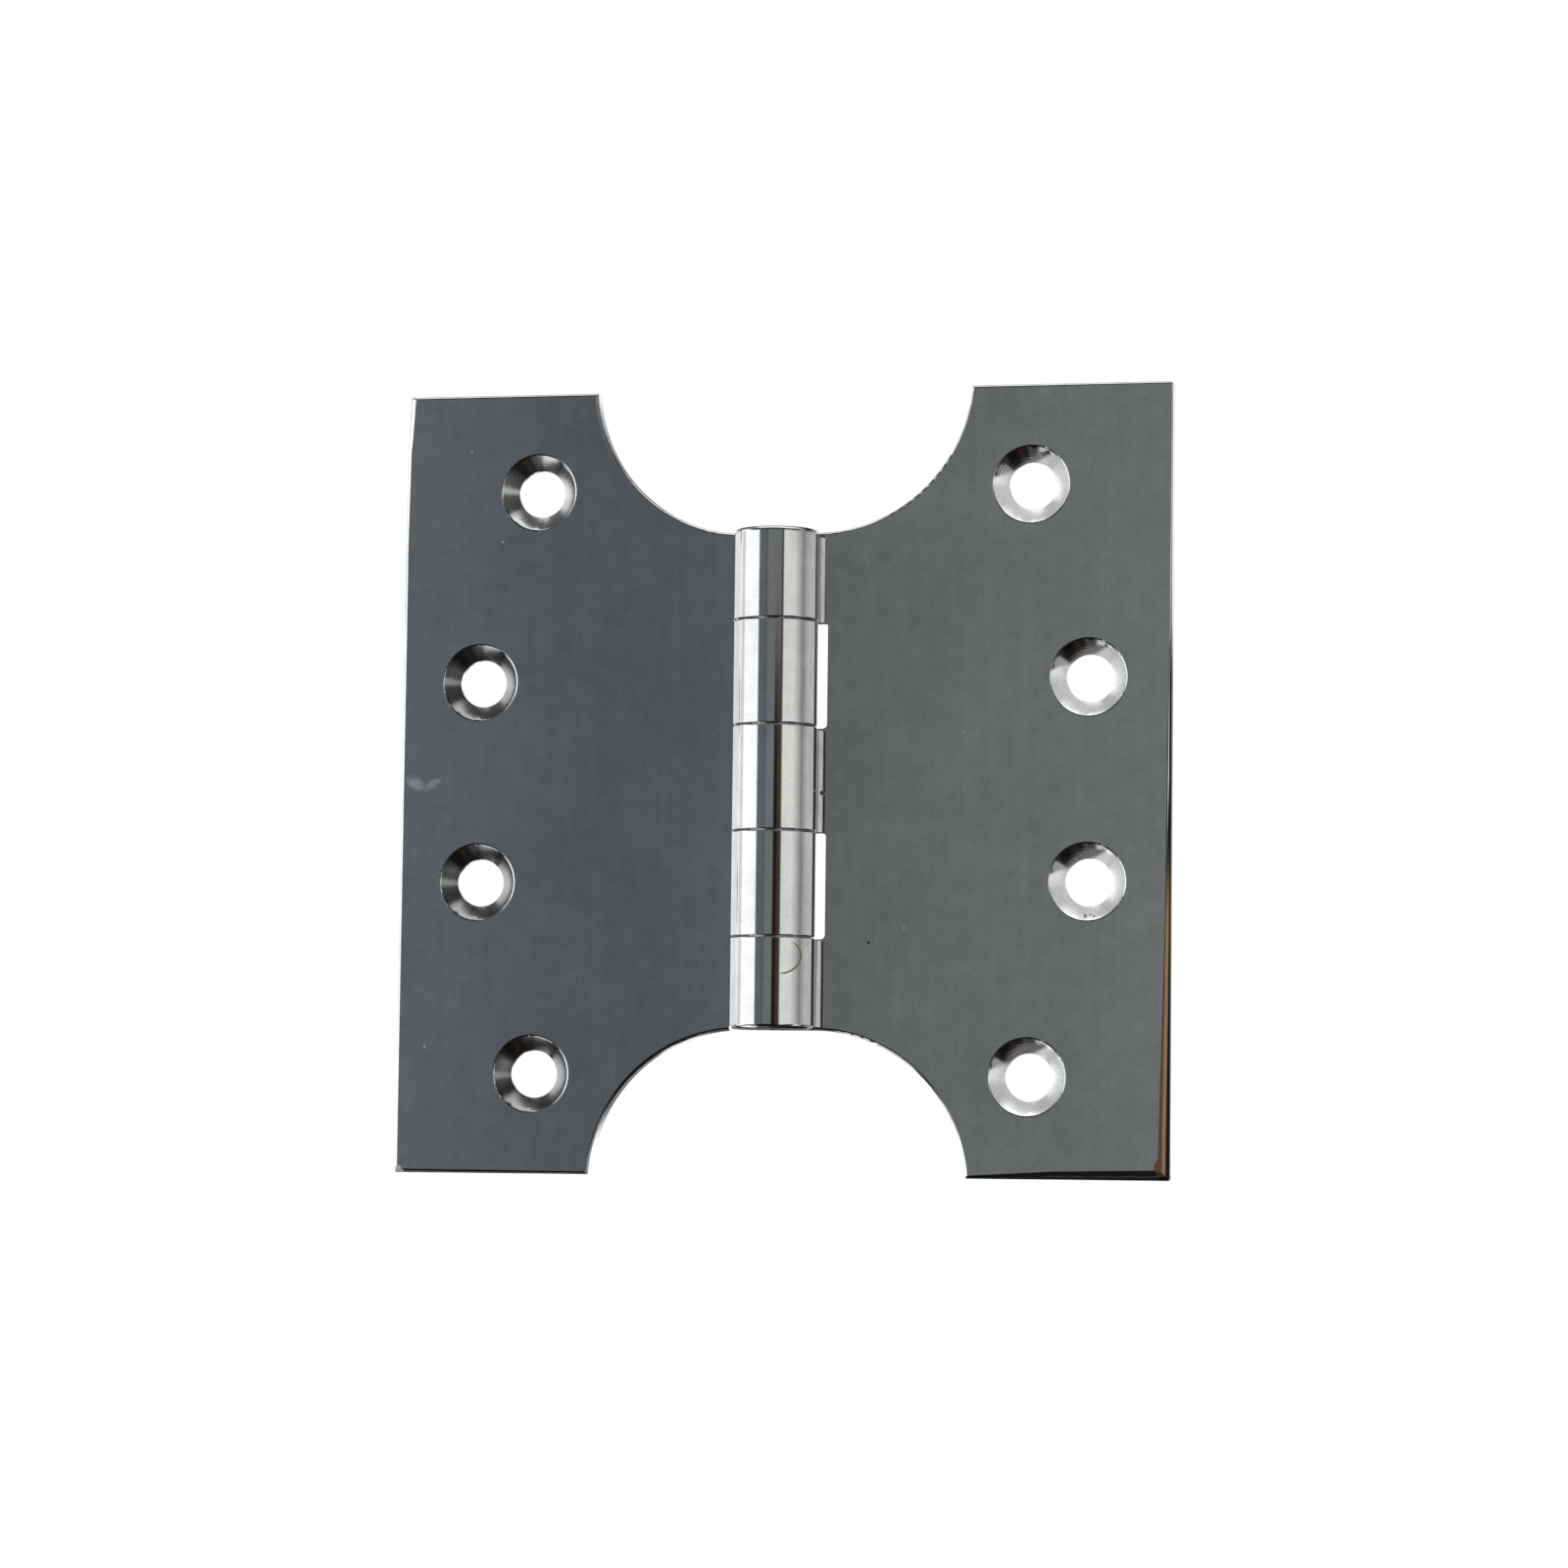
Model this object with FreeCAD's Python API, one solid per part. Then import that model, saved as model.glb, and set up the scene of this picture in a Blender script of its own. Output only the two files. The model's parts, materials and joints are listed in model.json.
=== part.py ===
"""Parliament hinge: two H-shaped leaves whose rolled knuckles make one barrel, turning on a pin.

The origin is the middle of the pin's axis. Z runs up the pin, X runs across the open leaves and
Y runs from the countersunk front to the flat back, which lies against the door and the frame.
The hinge is modelled open flat: the right leaf reaches along +X, the left leaf along -X.
"""

import FreeCAD, Part
import math
import os

from FreeCAD import Vector

# Leaves, in millimetres
leaf_height = 102.0
leaf_reach = 51.0  # pin axis to the outer edge of a leaf
leaf_thickness = 2.5
corner_radius = 0.4  # outer corners, seen from the front
front_edge_roll = 0.4  # front edges along the top, the bottom and the cut-outs
back_edge_round = 0.6  # back edges, which run on round the ends of the barrel

# Polishing has worn some front edges round, most at one corner of each leaf. Each pair is a place
# along the edge and the radius of the worn edge there. On an outer edge the place is a share of the
# leaf's height from its middle. On a bottom edge it is a share of the way from cut-out to corner.
right_outer_wear = [(-0.5, 1.3), (-0.2, 0.8), (0.15, 0.4), (0.5, 0.2)]
right_bottom_wear = [(0.0, 0.4), (0.45, 1.1), (1.0, 1.4)]
left_outer_wear = [(-0.5, 0.5), (0.3, 0.7), (0.42, 0.95), (0.5, 1.7)]
left_bottom_wear = [(0.0, 0.4), (1.0, 0.5)]

# Quarter-round cut-outs that part the ears of each leaf from its neck
cutout_radius = 20.1
cutout_centre_reach = 4.8  # pin axis to the centre of the cut-out's arc

# Pin
pin_radius = 3.0
pin_running_clearance = 0.05  # radial play in the left leaf, which turns on the pin
pin_recess = 0.3  # each end lies this far inside the barrel
pin_end_chamfer = 0.4

# Barrel, rolled from the sheet of the leaves. The cut-outs start level with its ends.
barrel_length = 64.4
knuckle_count = 5
end_knuckle_length = 11.8
knuckle_gap = 0.2  # play along the pin between neighbouring knuckles
knuckle_edge_break = 0.15
bore_ream = 0.05  # how far the bore is reamed into the sheet
seam_gap = 0.15  # slit between the end of a knuckle's curl and the front of its leaf
curl_end_round = 0.8  # rounding of the curl's end along the slit
notch_clearance = 0.8  # a leaf's notch stands this far off the other leaf's knuckle
notch_corner_radius = 0.6

# Countersunk screw holes: an inner pair near the cut-outs and an outer pair near the middle
hole_radius = 3.1
countersink_radius = 5.0
countersink_angle = 90.0
countersink_rim_round = 0.4  # rounding between a countersink and the front of the leaf
inner_hole_reach = 32.7
inner_hole_spacing = 76.1
outer_hole_reach = 40.3
outer_hole_spacing = 26.2

# Worked out from the sizes above
front_y = pin_radius - bore_ream
back_y = front_y + leaf_thickness
barrel_radius = back_y  # the back of each leaf is flush with the barrel
seam_angle = math.degrees(math.asin((front_y - seam_gap) / barrel_radius))
cutout_centre_z = barrel_length / 2 + cutout_radius
knuckle_pitch = (barrel_length - 2 * end_knuckle_length) / (knuckle_count - 2)
notch_reach = barrel_radius + notch_clearance
overcut = 1.0  # how far a cutting solid runs past what it cuts

CENTRE = Vector(0, 0, 0)
UP = Vector(0, 0, 1)
ACROSS = Vector(1, 0, 0)
BACKWARD = Vector(0, 1, 0)


def knuckle_spans():
    """Lower and upper end of each knuckle along the pin, from the top one down."""
    top = barrel_length / 2
    first_joint = knuckle_pitch * (knuckle_count - 2) / 2
    joints = [first_joint - knuckle_pitch * step for step in range(knuckle_count - 1)]
    uppers = [top] + [joint - knuckle_gap / 2 for joint in joints]
    lowers = [joint + knuckle_gap / 2 for joint in joints] + [-top]
    return list(zip(lowers, uppers))


def edge_roll_section(side, inward, face_y, depth_sign, radius):
    """The waste outside a rounded edge, as a face in the XY plane.

    side is where the side wall stands, inward the sign that points from it into the leaf, and
    depth_sign the sign that points from the plate's face at face_y into the leaf.
    """
    inner = side + inward * radius
    deep_y = face_y + depth_sign * radius
    outer = side - inward * overcut
    clear_y = face_y - depth_sign * overcut
    diagonal = radius * math.sqrt(0.5)
    middle = Vector(inner - inward * diagonal, deep_y - depth_sign * diagonal, 0)
    points = [
        Vector(inner, face_y, 0),
        Vector(inner, clear_y, 0),
        Vector(outer, clear_y, 0),
        Vector(outer, deep_y, 0),
        Vector(side, deep_y, 0),
    ]
    lines = [Part.makeLine(start, end) for start, end in zip(points, points[1:])]
    arc = Part.Arc(points[-1], middle, points[0]).toShape()
    return Part.Face(Part.Wire(lines + [arc]))


def outer_edge_waste(face_y, depth_sign, radius):
    """Rounds the upright edge furthest from the pin."""
    section = edge_roll_section(leaf_reach, -1, face_y, depth_sign, radius)
    section.translate(Vector(0, 0, -leaf_height / 2 - overcut))
    return section.extrude(UP * (leaf_height + 2 * overcut))


def worn_outer_edge_waste(wear):
    """Rounds the front of the outer edge by the worn radius at each height."""
    scale = 1 + 2 * overcut / leaf_height
    wires = []
    for share, radius in wear:
        section = edge_roll_section(leaf_reach, -1, front_y, 1, radius)
        section.translate(Vector(0, 0, share * leaf_height * scale))
        wires.append(section.OuterWire)
    return Part.makeLoft(wires, True, True)


def top_edge_waste(face_y, depth_sign, radius):
    """Rounds the top edge of the upper ear."""
    section = edge_roll_section(leaf_height / 2, -1, face_y, depth_sign, radius)
    section.rotate(CENTRE, BACKWARD, -90)
    return section.extrude(ACROSS * (leaf_reach + overcut))


def worn_top_edge_waste(wear):
    """Rounds the front of the top edge by the worn radius at each place from cut-out to corner."""
    start = cutout_centre_reach + cutout_radius
    length = leaf_reach + overcut - start
    wires = []
    for share, radius in wear:
        section = edge_roll_section(leaf_height / 2, -1, front_y, 1, radius)
        section.rotate(CENTRE, BACKWARD, -90)
        section.translate(ACROSS * (start + share * length))
        wires.append(section.OuterWire)
    return Part.makeLoft(wires, True, True)


def neck_edge_waste(face_y, depth_sign, radius):
    """Rounds the top edge of the neck, from the pin's axis to where the cut-out's arc starts."""
    section = edge_roll_section(barrel_length / 2, -1, face_y, depth_sign, radius)
    section.rotate(CENTRE, BACKWARD, -90)
    return section.extrude(ACROSS * cutout_centre_reach)


def cutout_edge_waste(face_y, depth_sign, radius):
    """Rounds the edge of the upper cut-out, round its arc and up its wall where it has one."""
    section = edge_roll_section(cutout_radius, 1, face_y, depth_sign, radius)
    section.translate(Vector(cutout_centre_reach, 0, cutout_centre_z))
    centre = Vector(cutout_centre_reach, 0, cutout_centre_z)
    waste = section.revolve(centre, BACKWARD, 90)
    wall_height = leaf_height / 2 - cutout_centre_z
    if wall_height > 0:
        waste = waste.fuse(section.extrude(UP * (wall_height + overcut)))
    return waste


def upper_cutout():
    """The space between the upper ear and the neck: round at the bottom corner, open at the top."""
    ceiling = max(leaf_height / 2, cutout_centre_z) + overcut
    wall_reach = cutout_centre_reach + cutout_radius
    floor_z = cutout_centre_z - cutout_radius
    diagonal = cutout_radius * math.sqrt(0.5)
    arc_middle = Vector(cutout_centre_reach + diagonal, 0, cutout_centre_z - diagonal)
    points = [
        Vector(cutout_centre_reach, 0, floor_z),
        Vector(-overcut, 0, floor_z),
        Vector(-overcut, 0, ceiling),
        Vector(wall_reach, 0, ceiling),
        Vector(wall_reach, 0, cutout_centre_z),
    ]
    lines = [Part.makeLine(start, end) for start, end in zip(points, points[1:])]
    arc = Part.Arc(points[-1], arc_middle, points[0]).toShape()
    outline = Part.Face(Part.Wire(lines + [arc]))
    outline.translate(Vector(0, front_y - overcut, 0))
    return outline.extrude(BACKWARD * (leaf_thickness + 2 * overcut))


def mirrored_down(shape):
    """The same shape below the hinge's middle."""
    return shape.mirror(CENTRE, UP)


def leaf_plate(outer_wear, bottom_wear):
    """The H-shaped plate of a leaf on the right, from the pin's axis to its worn outer edge."""
    corner = Vector(0, front_y, -leaf_height / 2)
    plate = Part.makeBox(leaf_reach, leaf_thickness, leaf_height, corner)
    outer_corners = [
        edge for edge in plate.Edges
        if all(abs(vertex.X - leaf_reach) < 1e-6 for vertex in edge.Vertexes)
        and abs(edge.Vertexes[0].Z - edge.Vertexes[1].Z) < 1e-6
    ]
    plate = plate.makeFillet(corner_radius, outer_corners)

    upper_waste = [
        upper_cutout(),
        top_edge_waste(front_y, 1, front_edge_roll),
        top_edge_waste(back_y, -1, back_edge_round),
        cutout_edge_waste(front_y, 1, front_edge_roll),
        cutout_edge_waste(back_y, -1, back_edge_round),
        neck_edge_waste(back_y, -1, back_edge_round),
    ]
    waste = upper_waste + [mirrored_down(shape) for shape in upper_waste]
    waste.append(mirrored_down(worn_top_edge_waste(bottom_wear)))
    waste.append(worn_outer_edge_waste(outer_wear))
    waste.append(outer_edge_waste(back_y, -1, back_edge_round))
    for shape in waste:
        plate = plate.cut(shape)
    return plate


def at_barrel_end(end):
    """Whether a knuckle's end is an end of the whole barrel, and not a joint between two knuckles."""
    return abs(abs(end) - barrel_length / 2) < 1e-6


def notch(lower, upper):
    """The space in the right leaf for one knuckle of the left leaf, open past the barrel's ends."""
    play = {True: notch_corner_radius + overcut, False: knuckle_gap}
    floor_z = lower - play[at_barrel_end(lower)]
    ceiling = upper + play[at_barrel_end(upper)]
    corner = Vector(-overcut, front_y - overcut, floor_z)
    block = Part.makeBox(notch_reach + overcut, leaf_thickness + 2 * overcut, ceiling - floor_z, corner)
    inner_corners = [
        edge for edge in block.Edges
        if all(abs(vertex.X - notch_reach) < 1e-6 for vertex in edge.Vertexes)
        and abs(edge.Vertexes[0].Z - edge.Vertexes[1].Z) < 1e-6
    ]
    return block.makeFillet(notch_corner_radius, inner_corners)


def rim_round(end):
    """The rounding of a knuckle's rim: larger at the barrel's ends than between two knuckles."""
    if at_barrel_end(end):
        return back_edge_round
    return knuckle_edge_break


def curl_end_waste(lower, upper):
    """Rounds the outer edge of a curl's end, over the height of its knuckle."""
    seam = math.radians(seam_angle)
    lean = math.asin(curl_end_round / (barrel_radius - curl_end_round))
    along = Vector(math.cos(seam), math.sin(seam), 0)
    beside = Vector(-along.y, along.x, 0)
    outward = Vector(math.cos(seam - lean), math.sin(seam - lean), 0)
    centre = outward * (barrel_radius - curl_end_round)
    inner = centre + beside * curl_end_round
    middle = centre + (outward + beside).normalize() * curl_end_round
    points = [
        inner,
        inner + beside * overcut,
        along * (barrel_radius + overcut) + beside * overcut,
        outward * (barrel_radius + overcut),
        outward * barrel_radius,
    ]
    lines = [Part.makeLine(start, end) for start, end in zip(points, points[1:])]
    arc = Part.Arc(points[-1], middle, inner).toShape()
    section = Part.Face(Part.Wire(lines + [arc]))
    section.translate(UP * (lower - overcut))
    return section.extrude(UP * (upper - lower + 2 * overcut))


def knuckle(lower, upper):
    """One curl of the right leaf's sheet: from its back, round the front, to the seam at its face."""
    low_round = rim_round(lower)
    high_round = rim_round(upper)
    low_centre = Vector(0, barrel_radius - low_round, lower + low_round)
    high_centre = Vector(0, barrel_radius - high_round, upper - high_round)
    low_middle = low_centre + Vector(0, 1, -1) * (low_round * math.sqrt(0.5))
    high_middle = high_centre + Vector(0, 1, 1) * (high_round * math.sqrt(0.5))
    inside_low = Vector(0, front_y, lower)
    inside_high = Vector(0, front_y, upper)
    rim_low = Vector(0, low_centre.y, lower)
    rim_high = Vector(0, high_centre.y, upper)
    wall_low = Vector(0, barrel_radius, low_centre.z)
    wall_high = Vector(0, barrel_radius, high_centre.z)
    outline = [
        Part.makeLine(inside_low, rim_low),
        Part.Arc(rim_low, low_middle, wall_low).toShape(),
        Part.makeLine(wall_low, wall_high),
        Part.Arc(wall_high, high_middle, rim_high).toShape(),
        Part.makeLine(rim_high, inside_high),
        Part.makeLine(inside_high, inside_low),
    ]
    curl = Part.Face(Part.Wire(outline)).revolve(CENTRE, UP, 270 + seam_angle)
    return curl.cut(curl_end_waste(lower, upper))


def screw_hole(reach, height):
    """A countersunk hole through a leaf, open wide at the front, with a rounded rim."""
    lean = math.radians(countersink_angle / 2)
    turn = math.radians(90) - lean
    rim_length = countersink_rim_round * math.tan(turn / 2)
    rim_centre = Vector(countersink_radius + rim_length, front_y + countersink_rim_round, 0)
    rim_middle = rim_centre - Vector(math.sin(turn / 2), math.cos(turn / 2), 0) * countersink_rim_round
    cone_start = Vector(
        countersink_radius - rim_length * math.sin(lean), front_y + rim_length * math.cos(lean), 0
    )
    cone_depth = (countersink_radius - hole_radius) / math.tan(lean)
    points = [
        cone_start,
        Vector(hole_radius, front_y + cone_depth, 0),
        Vector(hole_radius, back_y + overcut, 0),
        Vector(0, back_y + overcut, 0),
        Vector(0, front_y - overcut, 0),
        Vector(rim_centre.x, front_y - overcut, 0),
        Vector(rim_centre.x, front_y, 0),
    ]
    lines = [Part.makeLine(start, end) for start, end in zip(points, points[1:])]
    rim = Part.Arc(points[-1], rim_middle, cone_start).toShape()
    section = Part.Face(Part.Wire(lines + [rim]))
    hole = section.revolve(CENTRE, BACKWARD, 360)
    hole.translate(Vector(reach, 0, height))
    return hole


def make_leaf(plate, own_spans, other_spans, bore_radius):
    """A leaf on the right of the pin, with its own knuckles and notches for the other leaf's."""
    leaf = plate
    for lower, upper in other_spans:
        leaf = leaf.cut(notch(lower, upper))
    for lower, upper in own_spans:
        leaf = leaf.fuse(knuckle(lower, upper))
    bore_start = Vector(0, 0, -barrel_length / 2 - overcut)
    leaf = leaf.cut(Part.makeCylinder(bore_radius, barrel_length + 2 * overcut, bore_start, UP))
    pairs = [(inner_hole_reach, inner_hole_spacing), (outer_hole_reach, outer_hole_spacing)]
    for reach, spacing in pairs:
        for height in (spacing / 2, -spacing / 2):
            leaf = leaf.cut(screw_hole(reach, height))
    return leaf.removeSplitter()


def make_pin():
    """The plain pin, a little shorter than the barrel, with chamfered ends."""
    length = barrel_length - 2 * pin_recess
    pin = Part.makeCylinder(pin_radius, length, Vector(0, 0, -length / 2), UP)
    rims = [edge for edge in pin.Edges if len(edge.Vertexes) == 1]
    return pin.makeChamfer(pin_end_chamfer, rims)


def main():
    spans = knuckle_spans()
    right_spans = spans[0::2]
    left_spans = spans[1::2]
    right_plate = leaf_plate(right_outer_wear, right_bottom_wear)
    right_leaf = make_leaf(right_plate, right_spans, left_spans, pin_radius)
    left_plate = leaf_plate(left_outer_wear, left_bottom_wear)
    turning_bore = pin_radius + pin_running_clearance
    left_leaf = make_leaf(left_plate, left_spans, right_spans, turning_bore).mirror(CENTRE, ACROSS)
    nodes = {"right_leaf": right_leaf, "left_leaf": left_leaf, "hinge_pin": make_pin()}
    os.makedirs("parts", exist_ok=True)
    for name, shape in nodes.items():
        shape.exportStep(os.path.join("parts", name + ".step"))


main()
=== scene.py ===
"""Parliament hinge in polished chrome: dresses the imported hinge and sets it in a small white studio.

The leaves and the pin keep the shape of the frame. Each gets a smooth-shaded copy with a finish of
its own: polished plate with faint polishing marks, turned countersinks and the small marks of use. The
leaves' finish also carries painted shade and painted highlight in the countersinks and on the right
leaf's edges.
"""

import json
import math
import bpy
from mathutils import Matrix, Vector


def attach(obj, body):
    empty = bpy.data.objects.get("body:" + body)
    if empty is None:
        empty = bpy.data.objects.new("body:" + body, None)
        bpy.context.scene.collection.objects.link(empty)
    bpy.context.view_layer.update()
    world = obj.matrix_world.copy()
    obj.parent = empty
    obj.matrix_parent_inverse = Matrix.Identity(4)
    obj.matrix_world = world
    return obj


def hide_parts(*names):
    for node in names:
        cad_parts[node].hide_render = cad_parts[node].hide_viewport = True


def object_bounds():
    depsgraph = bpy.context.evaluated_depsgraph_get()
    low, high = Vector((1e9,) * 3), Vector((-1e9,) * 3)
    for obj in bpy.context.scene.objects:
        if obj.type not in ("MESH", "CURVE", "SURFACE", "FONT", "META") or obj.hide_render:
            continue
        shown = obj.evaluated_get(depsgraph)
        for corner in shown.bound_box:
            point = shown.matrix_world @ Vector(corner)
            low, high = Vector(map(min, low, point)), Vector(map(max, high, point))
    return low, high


bl_info = {
    "name": "Parliament Hinge Finish",
    "version": (1, 0, 0),
    "blender": (4, 5, 0),
    "location": "3D View > Sidebar > Hinge",
    "description": "Dresses a chrome parliament hinge and its studio",
    "category": "Object",
}

import bpy
from mathutils import Matrix, Vector

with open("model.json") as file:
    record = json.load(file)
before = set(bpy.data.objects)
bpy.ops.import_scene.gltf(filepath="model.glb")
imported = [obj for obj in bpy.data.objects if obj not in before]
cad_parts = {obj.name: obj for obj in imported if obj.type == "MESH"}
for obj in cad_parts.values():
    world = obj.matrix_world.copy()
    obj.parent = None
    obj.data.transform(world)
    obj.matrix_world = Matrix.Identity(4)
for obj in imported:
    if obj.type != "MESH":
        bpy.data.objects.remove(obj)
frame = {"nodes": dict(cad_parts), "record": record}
cad_low, cad_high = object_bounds()

MM = 0.001
SHARP_ANGLE = math.radians(40.0)  # edges sharper than this stay crisp
FLAT_ANGLE = math.radians(0.05)  # faces turned less than this lie in one plane
DOUBLES = 1e-6  # metres; points closer than this are one point

# Places on the hinge that the finish follows, in metres from the middle of the pin
leaf_mounts = {mount["name"]: mount for mount in frame["record"]["mounts"]}
INNER_SCREWS = leaf_mounts["right_inner_screws"]
OUTER_SCREWS = leaf_mounts["right_outer_screws"]
LEAF_BACK = INNER_SCREWS["pos_m"][1]
LEAF_REACH = cad_high[0]
LEAF_BOTTOM = cad_low[2]

# Depths at which the finish of the front and of its edges stops, short of the back
SINK_DEPTH = LEAF_BACK - 0.5 * MM
DARK_EDGE_DEPTH = LEAF_BACK - 0.65 * MM
FRONT_DEPTH = LEAF_BACK - 0.85 * MM
WORN_AND_SHADED_DEPTH = LEAF_BACK - 1.05 * MM
BARREL_FRONT = -1.0 * MM

# In all that follows, a pair of limits says where an area starts to show and where it is full

# Countersinks, toned with painted shade and painted highlight: the rim that stays plain, the height
# below which the left leaf's have darker painted shade, and the right leaf's dark upper left walls of
# painted shade, pale elsewhere with a painted highlight, by their place above a hole's axis and their
# lean
SINK_RIM = 0.1 * MM
LOW_SINKS = 25.0 * MM
DARK_WALL = (2.6 * MM, 3.3 * MM)
PALE_WALL = (3.3 * MM, 2.6 * MM)
DARK_WALL_LEAN = 0.4

# Painted shade: a dark strip on the right leaf's bottom edge, and its rise towards the outer corner
DARK_STRIP = (LEAF_BOTTOM + 0.15 * MM, LEAF_BOTTOM)
DARK_STRIP_RISE = 0.01

# Worn outer edge of the right leaf, darkened with painted shade: a strip that leans inwards below the
# middle, the heights where it sets in, a patch at the lower corner, and where the base metal lies bare
# (painted shade covers the rest of the strip)
WORN_AND_SHADED_STRIP = (LEAF_REACH - 0.34 * MM, LEAF_REACH - 0.16 * MM)
WORN_AND_SHADED_LEAN = 0.023
WORN_AND_SHADED_HEIGHTS = (26.0 * MM, 12.0 * MM)
WORN_AND_SHADED_CORNER = (LEAF_REACH - 0.5 * MM, LEAF_BOTTOM + 1.6 * MM)
WORN_AND_SHADED_PATCH = (1.5 * MM, 1.2 * MM)
BARE_HEIGHTS = (-7.0 * MM, -20.0 * MM)
BARE_DEPTHS = (3.34 * MM, 3.14 * MM)

# Hair on the bottom knuckle: the centre and radius of its curve, its line and its open end
HAIR_CENTRE = (2.15 * MM, -22.9 * MM)
HAIR_RADIUS = 2.3 * MM
HAIR_LINE = (0.16 * MM, 0.06 * MM)
HAIR_ACROSS = (1.9 * MM, 2.8 * MM)
HAIR_HEIGHTS = (-20.9 * MM, -21.6 * MM)

# Small specks on the front: place across and up, and radius, in millimetres
DARK_SPECKS = ((12.0, -20.9, 0.30), (5.7, -1.6, 0.28), (16.6, -19.0, 0.14), (24.1, 6.2, 0.12))
BROWN_SPECKS = ((40.0, -17.4, 0.26), (40.7, -17.2, 0.18), (41.2, -17.5, 0.14))
PALE_SPECKS = (
    (-50.4, -50.5, 0.40),
    (-49.9, -50.9, 0.25),
    (-47.1, -34.6, 0.10),
    (-37.5, 31.6, 0.10),
    (-41.9, 43.6, 0.08),
)
SPECK_EDGE = (0.25, 0.05)  # millimetres outside the radius
SPECK_FRAY = 0.3 * MM  # how far noise pulls the edge of a speck inwards

# Strokes of a scuff: centre across and up, half length and half width in millimetres, tilt in degrees
SCUFF_STROKES = (((-48.9, -0.1), 1.25, 0.75, -34.0), ((-46.6, -0.32), 1.1, 0.5, 32.0))
STROKE_EDGE = (2.2, 0.1)  # squared distance from the centre, in half sizes
STREAKS = (0.05, 0.65)  # of the noise that breaks up the strokes

# Zones of the tent by height and by depth, in shares of its radius
OVERHEAD = (0.20, 0.36)
UNDERFOOT = (-0.14, -0.30)
STRIP_TOP = (0.128, 0.088)
BELOW_FRONT = (-0.07, -0.11)
STEEP = (0.20, 0.34)
STEEPEST = (0.42, 0.54)
BEHIND = (0.0, 0.3)
AHEAD_OR_BEHIND = (0.26, 0.40)

# Strips and cards on the tent: soft edges in degrees of turn and in shares of the radius, and the
# degrees by which a card leans over one radius of height
TURN_EDGE = 0.5
HEIGHT_EDGE = 0.03
CARD_LEAN = 6.3

# Lamps: name, place in metres, power in watts and width in metres
LAMPS = (
    ("key_lamp", (-0.5, -0.6, 0.8), 9.0, 0.7),
    ("fill_lamp", (0.7, -0.4, 0.5), 4.0, 0.7),
)
SENSOR_WIDTH = 36.0  # millimetres


class HingeFinish(bpy.types.PropertyGroup):
    """Colours and finish of the hinge's own surfaces."""

    chrome: bpy.props.FloatVectorProperty(
        name="Chrome",
        description="Colour of the polished plate",
        subtype="COLOR",
        size=4,
        min=0.0,
        max=1.0,
        default=(0.68, 0.685, 0.69, 1.0),
    )
    chrome_roughness: bpy.props.FloatProperty(
        name="Chrome roughness",
        description="Blur of the reflections in the polished plate",
        min=0.0,
        max=1.0,
        default=0.06,
    )
    # Worn metal: its own colour where bare, and darkened to nearly black as painted shade on the worn
    # edge
    worn_metal: bpy.props.FloatVectorProperty(
        name="Worn metal",
        description="Colour of the base metal where the plate has worn off the edge",
        subtype="COLOR",
        size=4,
        min=0.0,
        max=1.0,
        default=(0.55, 0.36, 0.23, 1.0),
    )
    dirt: bpy.props.FloatVectorProperty(
        name="Dirt",
        description="Colour of the brown marks of use",
        subtype="COLOR",
        size=4,
        min=0.0,
        max=1.0,
        default=(0.15, 0.10, 0.045, 1.0),
    )
    pale_dirt: bpy.props.FloatVectorProperty(
        name="Pale dirt",
        description="Colour of the pale specks",
        subtype="COLOR",
        size=4,
        min=0.0,
        max=1.0,
        default=(0.30, 0.30, 0.29, 1.0),
    )
    countersink: bpy.props.FloatProperty(
        name="Countersink radius",
        description="Radius of the turned ring around each screw hole",
        subtype="DISTANCE",
        unit="LENGTH",
        default=5.0 * MM,
    )
    tool_pitch: bpy.props.FloatProperty(
        name="Tool pitch",
        description="Distance between the rings that the countersink tool left",
        subtype="DISTANCE",
        unit="LENGTH",
        default=0.33 * MM,
    )
    pin_steel: bpy.props.FloatVectorProperty(
        name="Pin steel",
        description="Colour of the bare pin",
        subtype="COLOR",
        size=4,
        min=0.0,
        max=1.0,
        default=(0.56, 0.57, 0.58, 1.0),
    )


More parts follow.
